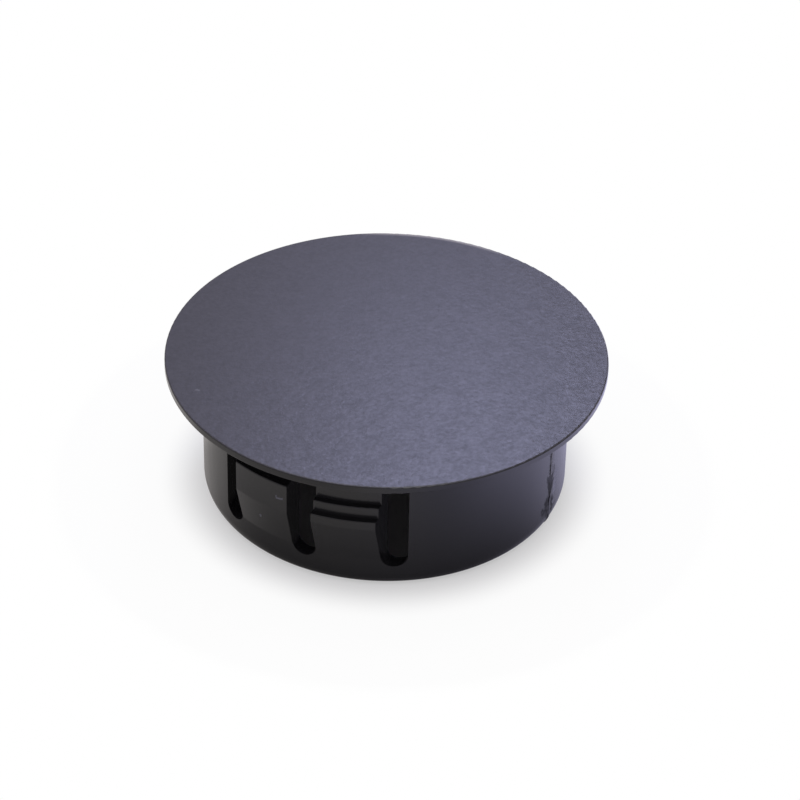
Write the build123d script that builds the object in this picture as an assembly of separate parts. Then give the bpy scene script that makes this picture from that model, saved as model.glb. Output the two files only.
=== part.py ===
from build123d import *
import os

# Snap-in hole plug, one nylon moulding: a flat round head, a hollow skirt open at the foot, four
# snap fingers and two parting lines. It stands on its foot at z = 0, its axis on Z and its head up.

# Overall sizes: the hole that the plug closes, and how the plug fits it
hole_diameter = 25.4
hole_clearance = 0.24
flange_overlap = 2.4
total_height = 10.25

# Head: a thin flange around a thicker centre
rim_thickness = 0.55
rim_upper_radius = 0.1
rim_lower_radius = 0.1
centre_thickness = 1.1

# Skirt
wall_thickness = 0.95
lead_in_height = 1.1
lead_in_depth = 0.65

# Openings: a mould slide on each side of the skirt leaves three slots joined by a gap at the top
slide_angle = -24.7
middle_slot_width = 1.75
side_slot_width = 1.6
slot_foot_height = 1.75
tip_gap = 0.7

# Fingers: each is a tongue of the wall with a tooth that catches behind the panel
finger_width = 4.25
full_reach = 0.85
half_reach = 0.43
crest_length = 0.65
ramp_height = 2.35
tooth_edge_radius = 0.1

# Distance from the flange to the top of each tooth, the thickest panel that the tooth holds
thin_grip = 2.05
middle_grip = 2.8
thick_grip = 3.65

# Mould gate mark under the middle of the head
gate_diameter = 1.6
gate_depth = 0.2

# Parting lines: where the two slides meet, a fine ridge runs down the skirt
parting_angle = 88.1
ridge_width = 0.22
ridge_height = 0.05

# Nick torn out of one parting line, deepest at its blunt top end and running out towards the foot
nick_top = 4.4
nick_length = 2.3
nick_width = 1.1
nick_depth = 0.28

head_radius = hole_diameter / 2 + flange_overlap
skirt_radius = (hole_diameter - hole_clearance) / 2
inner_radius = skirt_radius - wall_thickness
seat_height = total_height - rim_thickness
ceiling_height = total_height - centre_thickness
crest_height = seat_height - thick_grip - crest_length
finger_start = middle_slot_width / 2
finger_end = finger_start + finger_width
opening_end = finger_end + side_slot_width


def turned(outline):
    """Turn an outline of radius and height about the plug's axis."""
    return revolve(Plane.XZ * outline, Axis.Z)


def rounded(face, corner, radius):
    """Round the corner of a flat face that is nearest to a point."""
    return fillet(face.vertices().sort_by_distance(corner)[0], radius)


def head():
    """The head with its flange, and the gate mark on its underside."""
    outline = make_face(
        Polyline(
            (0, ceiling_height),
            (skirt_radius, ceiling_height),
            (skirt_radius, seat_height),
            (head_radius, seat_height),
            (head_radius, total_height),
            (0, total_height),
            close=True,
        )
    )
    outline = rounded(outline, (head_radius, total_height), rim_upper_radius)
    outline = rounded(outline, (head_radius, seat_height), rim_lower_radius)
    gate = Pos(0, 0, ceiling_height - gate_depth / 2) * Cylinder(gate_diameter / 2, gate_depth)
    return turned(outline) + gate


def skirt(outer_radius):
    """The tube under the head, with the curved lead-in around its foot."""
    foot_radius = outer_radius - lead_in_depth
    walls = Polyline(
        (outer_radius, lead_in_height),
        (outer_radius, seat_height),
        (inner_radius, seat_height),
        (inner_radius, 0),
        (foot_radius, 0),
    )
    lead_in = TangentArc((outer_radius, lead_in_height), (foot_radius, 0), tangent=(0, -1))
    return turned(make_face(walls + lead_in))


def strip(centre, width):
    """A block to the front of the axis, taller than the plug, that keeps one strip of the wall."""
    return Pos(centre, -head_radius / 2, total_height / 2) * Box(width, head_radius, total_height)


def slot(centre, width):
    """Outline of one upright slot with a round lower end, as seen along the slide."""
    end = slot_foot_height + width / 2
    height = ceiling_height - end
    return Pos(centre, end) * Circle(width / 2) + Pos(centre, end + height / 2) * Rectangle(
        width, height
    )


def opening():
    """All that the front slide takes out of the wall: three slots and the gap over the tips."""
    side = finger_end + side_slot_width / 2
    outline = Pos(0, ceiling_height - tip_gap / 2) * Rectangle(2 * opening_end, tip_gap)
    outline += slot(0, middle_slot_width)
    for centre in (-side, side):
        outline += slot(centre, side_slot_width)
    return extrude(Plane.XZ * outline, head_radius)


def toothed(steps, start):
    """The teeth of one front finger, which begins at start across the slide.

    Each step is a tooth's distance below the flange and its reach beyond the skirt.
    """
    root = skirt_radius - wall_thickness / 2
    corners = []
    radius = root
    for grip, reach in steps:
        corners += [(radius, seat_height - grip), (skirt_radius + reach, seat_height - grip)]
        radius = skirt_radius + reach
    outline = make_face(
        Polyline(
            *corners,
            (radius, crest_height),
            (skirt_radius, ramp_height),
            (root, ramp_height),
            close=True,
        )
    )
    for grip, reach in steps:
        outline = rounded(outline, (skirt_radius + reach, seat_height - grip), tooth_edge_radius)
    return turned(outline) & strip(start + finger_width / 2, finger_width)


def nick():
    """The torn nick, a three-sided notch, as it lies at the front of the skirt."""
    floor_radius = skirt_radius - nick_depth
    mouth_radius = skirt_radius + nick_depth
    blunt_end = make_face(
        Polyline(
            (0, -floor_radius),
            (nick_width, -mouth_radius),
            (-nick_width, -mouth_radius),
            close=True,
        )
    )
    return loft([Pos(0, 0, nick_top) * blunt_end, Vertex(0, -skirt_radius, nick_top - nick_length)])


def plug():
    """The whole moulding, with the same openings and fingers on two opposite sides."""
    single = toothed([(thin_grip, full_reach)], -finger_end)
    double = toothed([(middle_grip, half_reach), (thick_grip, full_reach)], finger_start)
    ridge = skirt(skirt_radius + ridge_height) & strip(0, ridge_width)
    wall = skirt(skirt_radius)
    for angle in (slide_angle, slide_angle + 180):
        wall -= Rot(0, 0, angle) * opening()
    for angle in (slide_angle, slide_angle + 180):
        wall += Rot(0, 0, angle) * single
        wall += Rot(0, 0, angle) * double
        wall += Rot(0, 0, angle + parting_angle) * ridge
    wall -= Rot(0, 0, slide_angle + parting_angle) * nick()
    return head() + wall


os.makedirs("parts", exist_ok=True)
export_step(plug(), "parts/hole_plug.step")
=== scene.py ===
# %% [markdown]
# # A snap-in hole plug
# This plug is one nylon moulding about 30 mm across. A thin round head covers a hole in a panel,
# and a hollow skirt with four snap fingers holds it there. The shape comes ready made from the
# CAD frame, in metres, standing on its foot at z = 0 with its head up.
# We could model it again here, but a moulding whose every edge has a real size is better left to
# CAD. So this lesson loads it, lights it and gives its plastic a finish: a fine matte grain on
# the head, a smoother skirt, a dull inside, the small marks that handling has left, and some
# painted light and shade.

# %% Load the moulding
from math import cos, radians, sin

import bpy
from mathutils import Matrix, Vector


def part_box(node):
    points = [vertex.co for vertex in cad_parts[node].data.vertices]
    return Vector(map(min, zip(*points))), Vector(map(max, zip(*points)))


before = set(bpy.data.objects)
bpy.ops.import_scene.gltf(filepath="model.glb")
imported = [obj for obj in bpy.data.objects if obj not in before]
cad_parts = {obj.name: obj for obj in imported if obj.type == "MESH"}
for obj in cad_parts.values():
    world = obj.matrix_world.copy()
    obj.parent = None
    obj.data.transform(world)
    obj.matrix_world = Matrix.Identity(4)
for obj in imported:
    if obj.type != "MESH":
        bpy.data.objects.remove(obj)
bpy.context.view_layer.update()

MM = 0.001
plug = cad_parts["hole_plug"]
low, high = (Vector(corner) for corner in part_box("hole_plug"))
head_radius = (high.x - low.x) / 2
total_height = high.z
print(f"head {2 * head_radius / MM:.1f} mm across, plug {total_height / MM:.2f} mm tall")

# %% [markdown]
# ## The camera
# A picture of a small product is taken from a step back with a long lens, so that the round head
# keeps its true oval. The camera looks down at 35 degrees from a little over 200 mm away.
# We could drag a camera about until the view looks right. It is more exact to start from the top
# of the head, step out along the line of sight, and turn the camera to a point inside the plug,
# with a slight roll because no hand-held camera is quite level.

# %% Camera
view_height = radians(34.94)
view_distance = 0.2114
view_roll = 0.0227
lens_length = 139.8
head_top = Vector((0, 0, total_height))
look_at = Vector((0.00096, -0.0019, 0.00769))

lens = bpy.data.cameras.new("camera")
lens.lens = lens_length
camera = bpy.data.objects.new("camera", lens)
bpy.context.scene.collection.objects.link(camera)
camera.location = head_top + view_distance * Vector((0, -cos(view_height), sin(view_height)))
camera.rotation_euler = (look_at - camera.location).to_track_quat("-Z", "Y").to_euler()
camera.rotation_euler.rotate_axis("Z", view_roll)
bpy.context.scene.camera = camera
bpy.context.scene.view_settings.view_transform = "Standard"
print(f"camera {view_distance / MM:.0f} mm from the head, lens {lens_length:.0f} mm")

# %% [markdown]
# ## Placing a shader node
# Every finish below is a tree of shader nodes. Nodes can be placed one line at a time, but then a
# material of thirty nodes is a hundred lines of wiring. `add_node` places a node and fills its
# inputs in one call: an input is given a number, a colour, or the output of another node.

# %% Node helper
def add_node(tree, kind, inputs=None, **settings):
    """Add a shader node, set it up, and fill its inputs with values or with other nodes' outputs."""
    node = tree.nodes.new("ShaderNode" + kind)
    for name, value in settings.items():
        setattr(node, name, value)
    for key, value in (inputs or {}).items():
        if isinstance(value, bpy.types.NodeSocket):
            tree.links.new(value, node.inputs[key])
        else:
            node.inputs[key].default_value = value
    return node


print("node helper ready")

# %% [markdown]
# ## Sums, fades and blends
# Three kinds of node come back all the time: a sum on numbers, a measure taken of a place, and a
# smooth change from one value to another. Each gets a helper of its own. The fade is the most
# useful: it turns any distance or height into a share between 0 and 1, with soft ends.

# %% Number helpers
def compute(tree, operation, *values):
    """Do one sum on the given values, and return its result."""
    return add_node(tree, "Math", dict(enumerate(values)), operation=operation).outputs[0]


def measure(tree, operation, first, second=(0, 0, 0)):
    """The number that a sum on one or two vectors gives, such as a length."""
    return add_node(tree, "VectorMath", {0: first, 1: second}, operation=operation).outputs["Value"]


def fade(tree, value, start, end):
    """A smooth change from 0 where value is at start to 1 where it is at end."""
    ends = {"Value": value, "From Min": start, "From Max": end}
    return add_node(tree, "MapRange", ends, interpolation_type="SMOOTHSTEP").outputs["Result"]


def blend(tree, share, first, second):
    """Blend two numbers: all of the first at share 0, all of the second at share 1."""
    return add_node(tree, "Mix", {0: share, 2: first, 3: second}).outputs[0]


print("number helpers ready")

# %% [markdown]
# ## The floor
# The plug stands on a white table. We only need a flat sheet that is large enough for its edge
# to stay out of every view, so a plane will do. It is staging and not part of the plug. Its
# material works from places on the floor: how far from the plug, how far across, how deep.

# %% Floor sheet
floor_size = 2.0
bpy.ops.mesh.primitive_plane_add(size=floor_size)
floor = bpy.context.object
floor.name = "floor"

table = bpy.data.materials.new("white_table")
table.use_nodes = True
tree = table.node_tree
tree.nodes.clear()
place = add_node(tree, "TexCoord").outputs["Object"]
from_plug = measure(tree, "LENGTH", place)
across, depth, _ = add_node(tree, "SeparateXYZ", {0: place}).outputs
rays = add_node(tree, "LightPath").outputs
print(f"floor {floor_size:.0f} m square")

# %% [markdown]
# ## The floor as the camera sees it
# A white floor can be had by flooding it with light, but that light would bleach the plug too.
# Instead the floor glows plain white where the camera looks straight at it. Near the foot the
# glow gives way in part to the real, lit surface, so the plug keeps a soft shadow to stand in.
# There is no glow at all inside the skirt, or it would shine out of the slots.

# %% Floor glow
glow_at_foot = 0.45
glow_in_shadow = 0.94
outside_skirt = fade(tree, from_plug, 11.0 * MM, 11.8 * MM)
near_glow = blend(tree, fade(tree, from_plug, 12.0 * MM, 16.0 * MM), glow_at_foot, glow_in_shadow)
near_glow = compute(tree, "MULTIPLY", near_glow, outside_skirt)
far_glow = fade(tree, from_plug, 14 * MM, 24 * MM)
seen = compute(tree, "MULTIPLY", rays["Is Camera Ray"], compute(tree, "MAXIMUM", near_glow, far_glow))
mirrored = compute(tree, "MAXIMUM", rays["Is Glossy Ray"], rays["Is Transmission Ray"])
glow = compute(tree, "MAXIMUM", seen, mirrored)
print(f"floor glow {glow_at_foot} at the foot, {glow_in_shadow} in the shadow, 1 further out")

# %% [markdown]
# ## The floor as the plastic mirrors it
# The skirt is smooth, and most of what we see on it is the floor's reflection: dark low down,
# where the wall mirrors the shaded floor at its foot, and lighter higher up. We could leave this
# to the shadow alone. Instead the floor's glow in reflections is painted by place, as painted shade
# and painted light for a table that a room with one window lights unevenly. It is dim beside the
# plug, most of all in front, and rises to full white further out.

# %% Mirrored floor
# Painted shade: the floor's glow in reflections, dim at the foot and beside the plug.
level_in_front = 0.13
level_added_right = 0.20
level_added_left = 0.51
shaded_edge = 12 * MM
white_edge = 24 * MM
level_beside = blend(tree, fade(tree, across, 0, -10 * MM), level_added_right, level_added_left)
beside = fade(tree, depth, -12 * MM, -2 * MM)
foot_level = compute(tree, "MULTIPLY_ADD", beside, level_beside, level_in_front)
outwards = {"Value": from_plug, "From Min": shaded_edge, "From Max": white_edge, "To Min": foot_level}
level_outside = add_node(tree, "MapRange", outwards).outputs[0]
print(f"mirrored floor rises to full white {white_edge / MM:.0f} mm from the axis")

# %% [markdown]
# ## The window's side and the shaded side
# The same painted glow is brighter in reflections on the side that faces the window, and a little
# at the back left, and it falls off again far out on the left: painted light and painted shade,
# each a fade along one direction. Under the hollow skirt the glow is painted almost black, as
# painted shade, so the slots stay dark.

# %% Mirrored sides
away_from_window, facing_window = 0.72, 1.38
back_left_gain = 0.27
far_left_level = 0.6
# Painted shade: the mirrored floor under the skirt.
painted_shade_level_under_skirt = 0.025
to_window = measure(tree, "DOT_PRODUCT", place, (0.85, 0.5, 0))
to_back_left = measure(tree, "DOT_PRODUCT", place, (-0.5, 0.86, 0))
window_gain = blend(tree, fade(tree, to_window, -3 * MM, 12.5 * MM), away_from_window, facing_window)
back_left = fade(tree, to_back_left, 8.5 * MM, 11.5 * MM)
side_gain = compute(tree, "MULTIPLY_ADD", back_left, back_left_gain, window_gain)
shaded_side = fade(tree, across, 0, -12 * MM)
far_left = compute(tree, "MULTIPLY", fade(tree, from_plug, 26 * MM, 28 * MM), shaded_side)
for gain in (side_gain, blend(tree, far_left, 1.0, far_left_level), fade(tree, from_plug, 11 * MM, 12 * MM)):
    level_outside = compute(tree, "MULTIPLY", level_outside, gain)
level_mirrored = compute(tree, "MAXIMUM", level_outside, painted_shade_level_under_skirt)
level = blend(tree, rays["Is Camera Ray"], level_mirrored, 1.0)
print(f"window side x {facing_window}, shaded side x {away_from_window}")

# %% [markdown]
# ## The floor's colour
# The reflections are painted a little warm on the left and bluish on the right, towards the
# window: a painted tint of light. Two tints that blend across the floor are enough. The camera
# itself still finds the floor neutral.
# The paint under the glow is pale, and painted darker inside the skirt as painted shade, where
# only the slots show it.

# %% Floor paint
def blend_colour(tree, share, first, second):
    """Blend two colours: all of the first at share 0, all of the second at share 1."""
    return add_node(tree, "Mix", {0: share, 6: first, 7: second}, data_type="RGBA").outputs[2]


def grey(level):
    """A neutral colour of the given linear level."""
    return (level, level, level, 1)


warm_side = (1.0, 0.955, 0.94, 1)
cool_side = (0.88, 0.86, 1.22, 1)
table_paint, painted_shade_under_skirt = grey(0.85), grey(0.35)
# Painted light: the floor's tint in reflections, warm on the left and bluish on the right.
tint = blend_colour(tree, fade(tree, across, -8 * MM, 18 * MM), warm_side, cool_side)
tint = blend_colour(tree, rays["Is Camera Ray"], tint, grey(1.0))
# Painted shade: the table's paint is darker inside the skirt.
under_skirt = fade(tree, from_plug, 11.8 * MM, 11.0 * MM)
paint_here = blend_colour(tree, under_skirt, table_paint, painted_shade_under_skirt)
paint = add_node(tree, "BsdfDiffuse", {"Color": paint_here})
light = add_node(tree, "Emission", {"Color": tint, "Strength": level})
surface = add_node(tree, "MixShader", {0: glow, 1: paint.outputs[0], 2: light.outputs[0]})
add_node(tree, "OutputMaterial", {"Surface": surface.outputs[0]})
floor.data.materials.append(table)
print(f"{table.name}: {len(tree.nodes)} nodes")

# %% [markdown]
# ## The room
# An even, pale room gives black plastic most of its light: about half of what a white sheet would
# need, the same from every side, a touch more from the wall behind. The camera sees the room as
# plain white. A dark room with strong lamps would be simpler, but every edge would glint.

# %% Room
room_colour = (1.0, 0.955, 1.02, 1)
front_level, back_level = 0.50, 0.55
studio = bpy.data.worlds.new("studio")
studio.use_nodes = True
bpy.context.scene.world = studio
tree = studio.node_tree
tree.nodes.clear()
toward = add_node(tree, "SeparateXYZ", {0: add_node(tree, "TexCoord").outputs["Generated"]}).outputs
room_level = blend(tree, fade(tree, toward["Y"], 0.1, 0.9), front_level, back_level)
room = add_node(tree, "Background", {"Color": room_colour, "Strength": room_level})
backdrop = add_node(tree, "Background", {"Color": grey(1.0), "Strength": 1.0})
rays = add_node(tree, "LightPath").outputs
seen = compute(tree, "MAXIMUM", rays["Is Camera Ray"], rays["Is Transmission Ray"])
surface = add_node(tree, "MixShader", {0: seen, 1: room.outputs[0], 2: backdrop.outputs[0]})
add_node(tree, "OutputWorld", {"Surface": surface.outputs[0]})
print(f"{studio.name}: level {front_level} in front, {back_level} behind")

# %% [markdown]
# ## The lamps
# A big softbox overhead gives the other half of the light and draws the soft shadow. A small cool
# window, low behind the plug and to the right, is mirrored in the matte head: it makes the broad
# bluish sheen over the near right of the head, and it grazes the grain so that the grain shows.

# %% Lamps
def soft_light(name, place, size, power, colour):
    """A square softbox at a place, turned to the middle of the plug."""
    lamp = bpy.data.lights.new(name, "AREA")
    lamp.size = size
    lamp.energy = power
    lamp.color = colour
    box = bpy.data.objects.new(name, lamp)
    box.location = place
    plug_middle = Vector((0, 0, total_height / 2))
    box.rotation_euler = (plug_middle - box.location).to_track_quat("-Z", "Y").to_euler()
    box.visible_camera = False
    bpy.context.scene.collection.objects.link(box)
    return box


overhead = soft_light("overhead", (0.0, 0.0, 0.45), 0.40, 1.0, (1.0, 1.0, 1.0))
window = soft_light("window", (0.011, 0.101, 0.109), 0.035, 0.0405, (0.60, 0.635, 1.0))
for box in (overhead, window):
    print(f"{box.name}: {box.data.energy:.3f} W, {box.location.length / MM:.0f} mm away")

# %% [markdown]
# ## Effects as node groups
# Grain, skin and marks are effects that any moulded part can use, so each becomes a node group
# with named inputs and outputs. A group reads a place on the plug, in metres, and gives numbers
# that vary over the surface. The shader itself stays in the material.

# %% Group helpers
NUMBER = "NodeSocketFloat"
VECTOR = "NodeSocketVector"


def new_effect(name, inputs, outputs):
    """Start a node group with named inputs and outputs; gives the group and its two end nodes."""
    group = bpy.data.node_groups.new(name, "ShaderNodeTree")
    for label, kind in inputs.items():
        group.interface.new_socket(label, in_out="INPUT", socket_type=kind)
    for label, kind in outputs.items():
        group.interface.new_socket(label, in_out="OUTPUT", socket_type=kind)
    return group, group.nodes.new("NodeGroupInput").outputs, group.nodes.new("NodeGroupOutput").inputs


def move(tree, operation, first, second):
    """The vector that a sum on two vectors gives."""
    return add_node(tree, "VectorMath", {0: first, 1: second}, operation=operation).outputs[0]


def scale(tree, vector, factor):
    """A vector made longer or shorter by a factor."""
    return add_node(tree, "VectorMath", {0: vector, "Scale": factor}, operation="SCALE").outputs[0]


print("group helpers ready")

# %% [markdown]
# ## The grain of the head
# The mould for the head was spark-eroded, which leaves fine pits of about a third of a millimetre
# on soft swells three times as wide. A bump map from one noise looks like leather. Two noises, a
# fine one on a broad one, look like the real grain. The group also gives a tone, from the same
# swells and another fine noise, that mottles the colour a little.

# %% Mould grain
def noise(tree, place, per_metre, detail):
    """Smooth noise between 0 and 1 with a given number of bumps in each metre."""
    settings = {"Vector": place, "Scale": per_metre, "Detail": detail, "Roughness": 0.6}
    return add_node(tree, "TexNoise", settings).outputs[0]


grain, given, result = new_effect(
    "mould_grain",
    {"Place": VECTOR, "Pits Per Metre": NUMBER, "Swells Per Metre": NUMBER},
    {"Height": NUMBER, "Tone": NUMBER},
)
swell_share, speck_share, tone_offset = 1.2, 1.6, 0.9
pits = noise(grain, given["Place"], given["Pits Per Metre"], 1.5)
swells = noise(grain, given["Place"], given["Swells Per Metre"], 2.0)
elsewhere = move(grain, "ADD", given["Place"], (0.1, 0.2, 0.3))
specks = noise(grain, elsewhere, given["Pits Per Metre"], 1.0)
height = compute(grain, "MULTIPLY_ADD", pits, 0.5, compute(grain, "MULTIPLY", swells, 0.5))
grain.links.new(fade(grain, height, 0.35, 0.65), result["Height"])
speck_tone = compute(grain, "MULTIPLY", specks, speck_share)
tone = compute(grain, "MULTIPLY_ADD", swells, swell_share, speck_tone)
grain.links.new(compute(grain, "SUBTRACT", tone, tone_offset), result["Tone"])
print(f"{grain.name}: {len(grain.nodes)} nodes")

# %% [markdown]
# ## The skin of the skirt
# The skirt was drawn straight out of polished steel. Its skin is smooth, with faint lines along
# the draw. A wave texture would give even stripes, which look machined. Noise stretched along the
# height gives lines that come and go, as the real ones do.

# %% Drawn skin
skin, given, result = new_effect(
    "drawn_skin",
    {"Place": VECTOR, "Lines Per Metre": NUMBER},
    {"Height": NUMBER},
)
stretched = move(skin, "MULTIPLY", given["Place"], (1.0, 1.0, 0.06))
skin.links.new(noise(skin, stretched, given["Lines Per Metre"], 3.0), result["Height"])
print(f"{skin.name}: {len(skin.nodes)} nodes")

# %% [markdown]
# ## Small marks
# A scratch, a chip or a speck is a short stroke from one point to another. The group measures how
# far each place is from the stroke's nearest point, and gives a mask that is 1 along the middle
# of the stroke and 0 beyond its width. A painted image could do this, but it would need a file.
# Nothing is ever torn along a clean line, so noise first shifts each place by part of the width.

# %% Mark
mark, given, result = new_effect(
    "mark",
    {"Place": VECTOR, "From": VECTOR, "To": VECTOR, "Width": NUMBER},
    {"Mask": NUMBER},
)
tears_per_metre = 3000
tear_share = 1.3
tearing = add_node(mark, "TexNoise", {"Vector": given["Place"], "Scale": tears_per_metre, "Detail": 3.0})
tearing = move(mark, "SUBTRACT", tearing.outputs["Color"], (0.5, 0.5, 0.5))
tearing = scale(mark, tearing, compute(mark, "MULTIPLY", given["Width"], tear_share))
torn_place = move(mark, "ADD", given["Place"], tearing)
stroke = move(mark, "SUBTRACT", given["To"], given["From"])
reach = move(mark, "SUBTRACT", torn_place, given["From"])
part = [measure(mark, "DOT_PRODUCT", reach, stroke), measure(mark, "DOT_PRODUCT", stroke, stroke)]
share = add_node(mark, "Math", dict(enumerate(part)), operation="DIVIDE", use_clamp=True).outputs[0]
gap = measure(mark, "DISTANCE", reach, scale(mark, stroke, share))
half_width = compute(mark, "MULTIPLY", given["Width"], 0.5)
mark.links.new(fade(mark, gap, half_width, 0.0), result["Mask"])
print(f"{mark.name}: {len(mark.nodes)} nodes")

# %% [markdown]
# ## The nylon and its zones
# The plug is one piece of black nylon, so it gets one material. What differs is the finish that
# the mould gave each area, and we tell the areas apart by their place: the head's flat top by
# its height, the inside by its distance from the axis. The change at the rim's edge is narrow.

# %% Zones
nylon = bpy.data.materials.new("moulded_black_nylon")
nylon.use_nodes = True
tree = nylon.node_tree
shader = tree.nodes["Principled BSDF"]
place = add_node(tree, "TexCoord").outputs["Object"]
height_up = add_node(tree, "SeparateXYZ", {0: place}).outputs["Z"]
from_axis = measure(tree, "LENGTH", move(tree, "MULTIPLY", place, (1, 1, 0)))

skirt_inside = 11.63 * MM
on_head = fade(tree, height_up, total_height - 0.07 * MM, total_height - 0.02 * MM)
within = fade(tree, from_axis, skirt_inside + 0.08 * MM, skirt_inside + 0.03 * MM)
inside = compute(tree, "MULTIPLY", within, compute(tree, "SUBTRACT", 1.0, on_head))
print(f"zones: head, skirt, and inside within {skirt_inside / MM:.2f} mm of the axis")

# %% [markdown]
# ## Grain and skin in their places
# The two textures are placed at their real scale. One fade across the head makes the grain's tone
# and relief strongest towards the near right and weakest towards the far left. In the tone this is
# painted light: the stronger mottling stands in for glints of the grain in the window's sheen.

# %% Texture of each zone
faintest_grain = 0.4
tone_contrast = 0.88
grain_sizes = {"Place": place, "Pits Per Metre": 3200, "Swells Per Metre": 1100}
grain_here = add_node(tree, "Group", grain_sizes, node_tree=grain).outputs
skin_here = add_node(tree, "Group", {"Place": place, "Lines Per Metre": 2500}, node_tree=skin).outputs
near_right = measure(tree, "DOT_PRODUCT", place, (0.76, -0.65, 0.0))
# Painted light: the grain's tone is stronger at the near right, for glints in the sheen.
sheen_grain_strength = blend(tree, fade(tree, near_right, -12 * MM, 16 * MM), faintest_grain, 1.0)
tone = compute(tree, "MULTIPLY", compute(tree, "SUBTRACT", grain_here["Tone"], 0.5), sheen_grain_strength)
tone = compute(tree, "MULTIPLY_ADD", tone, tone_contrast, 0.5)
print(f"grain {faintest_grain} as strong at the far left as at the near right")

# %% [markdown]
# ## Wear and painted light on the parting line
# The plug isn't new. At the right of the skirt, a nick is torn out of the ridge where the mould's
# halves met, and its raw faces don't shine. The ridge above the nick is dulled and painted pale,
# which is painted light over its shaded side. The nick's right lip carries a painted highlight,
# pale strokes at the nick's top end and on the ridge below it are painted light over their shade,
# and dark strokes lie below the nick. Each stroke gives its two ends and its width in
# millimetres, which is quicker to adjust than a painted mask and keeps its size at any distance.

# %% Parting line wear
dull_nick = [
    ((11.06, -6.00, 4.30), (11.27, -5.58, 2.50), 0.6),
    ((11.25, -5.62, 4.05), (11.27, -5.58, 2.50), 0.5),
    ((11.44, -5.23, 3.70), (11.27, -5.58, 2.50), 0.5),
]
# Painted light: the ridge is painted pale over its shaded side, and dulled.
dull_ridge_painted_light = [((11.29, -5.65, 9.6), (11.29, -5.65, 4.5), 0.8)]
# Dark strokes below the nick, painted darker than the nylon.
dark_strokes = [
    ((11.08, -5.95, 2.40), (11.05, -6.01, 1.95), 0.9),
    ((11.44, -5.23, 1.95), (11.47, -5.16, 1.35), 0.9),
    ((10.84, -6.38, 1.74), (11.05, -6.00, 1.48), 1.1),
]
# The first two strokes are painted light over shade, at the nick's top end and on the ridge below it; the
# third is a pale scuff.
scuffs_and_painted_light = [
    ((11.42, -5.28, 4.80), (11.55, -5.00, 4.15), 0.6),
    ((11.24, -5.66, 1.95), (11.12, -5.60, 0.60), 0.5),
    ((11.68, -4.67, 1.40), (11.37, -5.38, 0.87), 0.45),
]
# A painted highlight along the nick's right lip, and a small pale spot below it.
painted_highlight_and_pale_spot = [
    ((11.62, -4.81, 4.05), (11.58, -4.92, 2.49), 0.75),
    ((11.54, -5.01, 1.76), (11.54, -5.01, 1.66), 0.4),
]
print(f"{len(dull_nick + dull_ridge_painted_light + dark_strokes + scuffs_and_painted_light + painted_highlight_and_pale_spot)} marks on the parting line")

# %% [markdown]
# ## Scratches and the painted highlight on the rim
# Elsewhere there is less: a light speck near the left of the head, and a fine hooked scratch and
# a grain of dust on the left finger. The far edge of the rim gets a pale painted highlight, where
# its rounding catches the light from behind. That is a band and not a stroke, so it comes from two
# fades: near the rim, and far back.

# %% Other wear
scuffs_and_painted_light += [
    ((-12.68, -4.77, 10.25), (-12.51, -4.76, 10.25), 0.30),
    ((-7.11, -11.39, 6.60), (-7.08, -11.41, 6.42), 0.18),
    ((-7.06, -11.42, 6.40), (-6.70, -11.64, 6.48), 0.20),
    ((-8.19, -10.12, 3.99), (-8.19, -10.12, 3.83), 0.20),
]
# Painted highlight: a pale band on the far edge of the rim.
near_rim = fade(tree, from_axis, head_radius - 0.42 * MM, head_radius - 0.16 * MM)
far_back = fade(tree, measure(tree, "DOT_PRODUCT", place, (0.225, 0.974, 0)), 13.7 * MM, 14.8 * MM)
painted_rim_highlight = compute(tree, "MULTIPLY", near_rim, far_back)
print(f"{len(scuffs_and_painted_light)} scuffs in all, and one rubbed edge")

# %% [markdown]
# ## The nylon's colour
# Black nylon isn't pure black: under a plain light it is a very dark, slightly violet grey. The
# eroded head scatters more light than the polished skirt, so it looks greyer. We could give each
# area a flat colour, but the mottling between two close tones is what makes it look moulded.

# %% Colour
head_low = (0.012, 0.0113, 0.0165, 1)
head_high = (0.052, 0.0492, 0.065, 1)
skirt_colour = (0.011, 0.0107, 0.012, 1)
rim_highlight_colour = (0.24, 0.225, 0.225, 1)
colour = blend_colour(tree, tone, head_low, head_high)
colour = blend_colour(tree, on_head, skirt_colour, colour)
# Painted highlight: the pale band on the far rim.
colour = blend_colour(tree, painted_rim_highlight, colour, rim_highlight_colour)
print(f"head colour between {head_low[:3]} and {head_high[:3]}")

# %% [markdown]
# ## The colour of the marks
# The painted highlight on the nick's lip and the pale spot are the palest, and bluish. The scuffs
# and the painted light over shade are greyer, and so is the ridge, painted pale over its shaded
# side. The dark strokes below the nick are darker than anything else on the plug. The marks are
# laid over the nylon one kind after another, and the same masks are kept to dull the shine there.

# %% Marks laid on
def marks(tree, place, strokes):
    """One mask for several strokes, each given in millimetres as its two ends and its width."""
    mask = 0.0
    for start, end, width in strokes:
        sizes = {"Place": place, "From": Vector(start) * MM, "To": Vector(end) * MM, "Width": width * MM}
        stroke_mask = add_node(tree, "Group", sizes, node_tree=mark).outputs["Mask"]
        mask = compute(tree, "MAXIMUM", mask, stroke_mask)
    return mask


# Some of these colours are painted light: the pale ridge, the lip highlight, and two of the scuffs.
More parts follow.
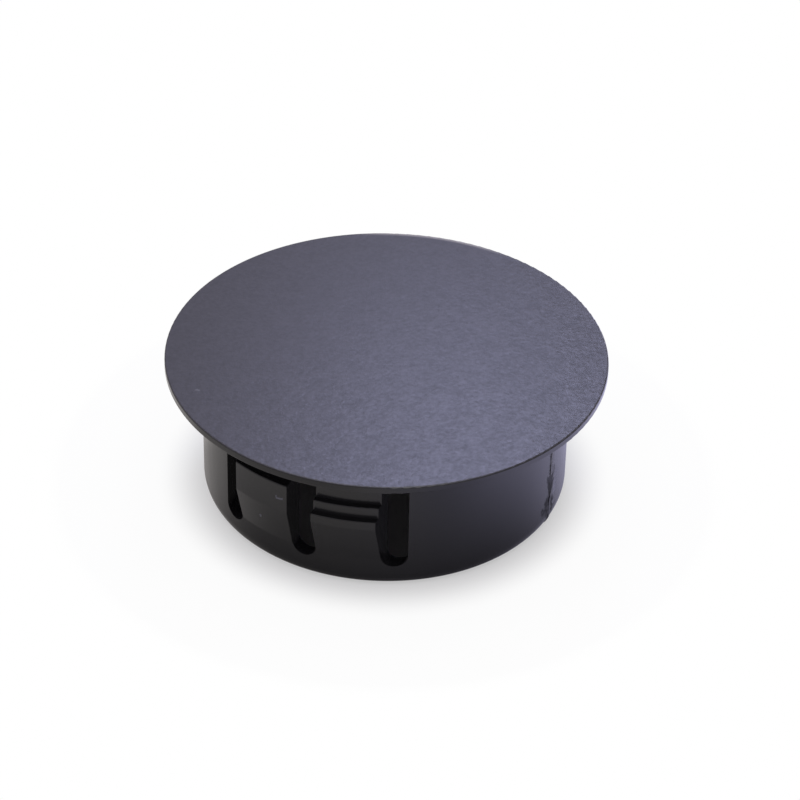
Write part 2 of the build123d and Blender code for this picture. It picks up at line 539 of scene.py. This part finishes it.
wear_colours = (
    (dull_nick, (0.02, 0.02, 0.024, 1)),
    (dull_ridge_painted_light, (0.16, 0.16, 0.195, 1)),
    (dark_strokes, (0.002, 0.002, 0.0025, 1)),
    (scuffs_and_painted_light, (0.12, 0.12, 0.15, 1)),
    (painted_highlight_and_pale_spot, (0.24, 0.24, 0.32, 1)),
)
dulled = 0.0
for strokes, mark_colour in wear_colours:
    mask = marks(tree, place, strokes)
    colour = blend_colour(tree, mask, colour, mark_colour)
    dulled = compute(tree, "MAXIMUM", dulled, mask)
tree.links.new(colour, shader.inputs["Base Color"])
print(f"{len(wear_colours)} kinds of mark laid on the nylon")

# %% [markdown]
# ## How the nylon shines
# The head is matte and the skirt is nearly glossy. The inside came off the core of the mould,
# which nobody polishes, so it is dull. The marks don't mirror anything. On the head the paler
# places are also a touch smoother, so the grain shows best in the window's sheen.

# %% Roughness
head_roughest, head_polish = 0.39, -0.06
skirt_smoothest, skirt_lines = 0.17, 0.1
inside_roughness = 0.5
mark_roughness = 0.8
rough_head = compute(tree, "MULTIPLY_ADD", tone, head_polish, head_roughest)
rough_skirt = compute(tree, "MULTIPLY_ADD", skin_here["Height"], skirt_lines, skirt_smoothest)
rough = blend(tree, on_head, rough_skirt, rough_head)
rough = blend(tree, inside, rough, inside_roughness)
rough = blend(tree, dulled, rough, mark_roughness)
tree.links.new(rough, shader.inputs["Roughness"])
print(f"roughness: head {head_roughest}, skirt {skirt_smoothest}, inside {inside_roughness}")

# %% [markdown]
# ## The relief
# Bump turns the grain and the drawn lines into relief a hundredth of a millimetre deep. That is
# too fine to model, while every shape that can be seen as one is in the mesh already. The skirt's
# lines are shallower than the head's grain.

# %% Relief
head_depth = 0.75
skirt_depth = 0.3
relief_head = compute(tree, "MULTIPLY", grain_here["Height"], head_depth)
relief_head = compute(tree, "MULTIPLY", relief_head, sheen_grain_strength)
relief_skirt = compute(tree, "MULTIPLY", skin_here["Height"], skirt_depth)
relief = blend(tree, on_head, relief_skirt, relief_head)
bump = add_node(tree, "Bump", {"Height": relief, "Distance": 0.01 * MM, "Strength": 1.0})
tree.links.new(bump.outputs[0], shader.inputs["Normal"])

plug.data.materials[0] = nylon
print(f"{nylon.name}: {len(tree.nodes)} nodes")
